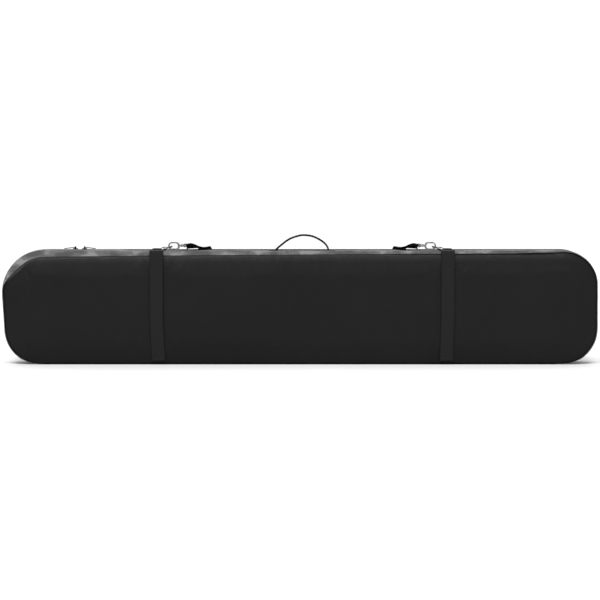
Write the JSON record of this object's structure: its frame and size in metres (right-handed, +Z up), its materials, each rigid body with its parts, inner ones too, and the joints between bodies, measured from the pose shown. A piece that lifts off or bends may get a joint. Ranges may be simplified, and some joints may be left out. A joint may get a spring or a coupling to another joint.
{
  "type": "snowboard bag",
  "caption": "Long padded snowboard bag standing on its side, with a zipped lid, webbing straps, a carry handle, D-rings and a clipped shoulder strap.",
  "frame": {"origin": "on the floor, under the middle of the bag", "axes": "+X along the bag to the right seen from the back panel, +Y from the back panel to the lid, +Z up"},
  "size_m": [1.6647, 0.1604, 0.3626],
  "materials": {
    "black_shell": "matte",
    "grey_shell": "matte",
    "padding": "matte",
    "lining": "satin",
    "webbing": "matte",
    "zipper_tape": "matte",
    "zipper_coil": "satin",
    "dark_metal": "satin",
    "steel": "polished",
    "buckle_plastic": "satin"
  },
  "bodies": {
    "bag_body": {"back_panel_foam": "padding", "back_panel_lining": "lining", "back_panel_shell": "black_shell", "body_zipper_coil": "zipper_coil", "body_zipper_tape": "zipper_tape", "bottom_gusset_foam": "padding", "bottom_gusset_lining": "lining", "bottom_gusset_shell": "black_shell", "inner_seam_binding": "webbing", "left_back_strap": "webbing", "left_buckle_socket": "buckle_plastic", "left_end_foam": "padding", "left_end_lining": "lining", "left_end_shell": "grey_shell", "left_handle_foot": "webbing", "left_lower_tie_webbing": "webbing", "left_ring_tab": "webbing", "left_upper_tie_webbing": "webbing", "lid_hinge_strip": "black_shell", "right_back_strap": "webbing", "right_buckle_socket": "buckle_plastic", "right_end_foam": "padding", "right_end_lining": "lining", "right_end_shell": "grey_shell", "right_handle_foot": "webbing", "right_lower_tie_webbing": "webbing", "right_ring_tab": "webbing", "right_upper_tie_webbing": "webbing", "top_gusset_foam": "padding", "top_gusset_lining": "lining", "top_gusset_shell": "grey_shell", "zipper_end_stops": "dark_metal"},
    "lid": {"lid_shell": "grey_shell", "lid_foam": "padding", "lid_lining": "lining", "lid_return_shell": "grey_shell", "lid_return_foam": "padding", "lid_zipper_tape": "zipper_tape", "lid_zipper_coil": "zipper_coil"},
    "shoulder_strap": {"shoulder_strap": "webbing", "left_swivel_eye": "steel", "right_swivel_eye": "steel"},
    "strap_adjuster": {"strap_adjuster": "buckle_plastic"},
    "carry_handle": {"carry_handle": "webbing"},
    "left_zip_slider": {"left_zip_slider": "dark_metal"},
    "left_zip_pull": {"left_zip_pull": "dark_metal"},
    "left_d_ring": {"left_d_ring": "steel"},
    "left_snap_hook": {"left_snap_hook": "steel"},
    "left_hook_gate": {"left_hook_gate": "steel"},
    "left_buckle_plug": {"left_buckle_plug": "buckle_plastic"},
    "right_zip_slider": {"right_zip_slider": "dark_metal"},
    "right_zip_pull": {"right_zip_pull": "dark_metal"},
    "right_d_ring": {"right_d_ring": "steel"},
    "right_snap_hook": {"right_snap_hook": "steel"},
    "right_hook_gate": {"right_hook_gate": "steel"},
    "right_buckle_plug": {"right_buckle_plug": "buckle_plastic"}
  },
  "joints": [
    {"name": "lid_open", "type": "hinge", "parent": "bag_body", "child": "lid", "pos_m": [0, 0.075, 0], "axis": [-1, 0, 0], "range_deg": [0, 90]},
    {"name": "left_slider_run", "type": "slide", "parent": "bag_body", "child": "left_zip_slider", "axis": [1, 0, 0], "range_m": [-0.075, 0]},
    {"name": "left_pull_lift", "type": "hinge", "parent": "left_zip_slider", "child": "left_zip_pull", "pos_m": [-0.636, 0.052, 0.3238], "axis": [0, 1, 0], "range_deg": [0, 85]},
    {"name": "left_ring_lift", "type": "hinge", "parent": "bag_body", "child": "left_d_ring", "pos_m": [-0.3795, -0.005, 0.3222], "axis": [0, -1, 0], "range_deg": [0, 5]},
    {"name": "left_hook_turn", "type": "hinge", "parent": "bag_body", "child": "left_snap_hook", "pos_m": [-0.34, -0.005, 0.3305], "axis": [1, 0, 0], "range_deg": [-12, 12]},
    {"name": "left_gate_press", "type": "hinge", "parent": "left_snap_hook", "child": "left_hook_gate", "pos_m": [-0.3496, -0.005, 0.33825], "axis": [0, -1, 0], "range_deg": [0, 18], "stiffness_Nm_per_rad": 0.02, "springref_deg": -9.74},
    {"name": "left_buckle_release", "type": "slide", "parent": "bag_body", "child": "left_buckle_plug", "axis": [0, 0, 1], "range_m": [0, 0.028]},
    {"name": "right_slider_run", "type": "slide", "parent": "bag_body", "child": "right_zip_slider", "axis": [1, 0, 0], "range_m": [0, 1.29]},
    {"name": "right_pull_lift", "type": "hinge", "parent": "right_zip_slider", "child": "right_zip_pull", "pos_m": [-0.61, 0.052, 0.3238], "axis": [0, -1, 0], "range_deg": [0, 85]},
    {"name": "right_ring_lift", "type": "hinge", "parent": "bag_body", "child": "right_d_ring", "pos_m": [0.3915, -0.005, 0.3222], "axis": [0, 1, 0], "range_deg": [0, 5]},
    {"name": "right_hook_turn", "type": "hinge", "parent": "bag_body", "child": "right_snap_hook", "pos_m": [0.352, -0.005, 0.3305], "axis": [1, 0, 0], "range_deg": [-12, 12]},
    {"name": "right_gate_press", "type": "hinge", "parent": "right_snap_hook", "child": "right_hook_gate", "pos_m": [0.3616, -0.005, 0.33825], "axis": [0, 1, 0], "range_deg": [0, 18], "stiffness_Nm_per_rad": 0.02, "springref_deg": -9.74},
    {"name": "right_buckle_release", "type": "slide", "parent": "bag_body", "child": "right_buckle_plug", "axis": [0, 0, 1], "range_m": [0, 0.028]},
    {"name": "shoulder_strap_swing", "type": "hinge", "parent": "bag_body", "child": "shoulder_strap", "pos_m": [0.006, -0.005, 0.3305], "axis": [1, 0, 0], "range_deg": [0, 28]},
    {"name": "adjuster_slide", "type": "slide", "parent": "shoulder_strap", "child": "strap_adjuster", "axis": [0.2873, 0, -0.9578], "range_m": [-0.025, 0.022]},
    {"name": "handle_press", "type": "slide", "parent": "bag_body", "child": "carry_handle", "axis": [0, 0, -1], "range_m": [0, 0.03], "stiffness_N_per_m": 400, "deforming": ["carry_handle"]}
  ]
}
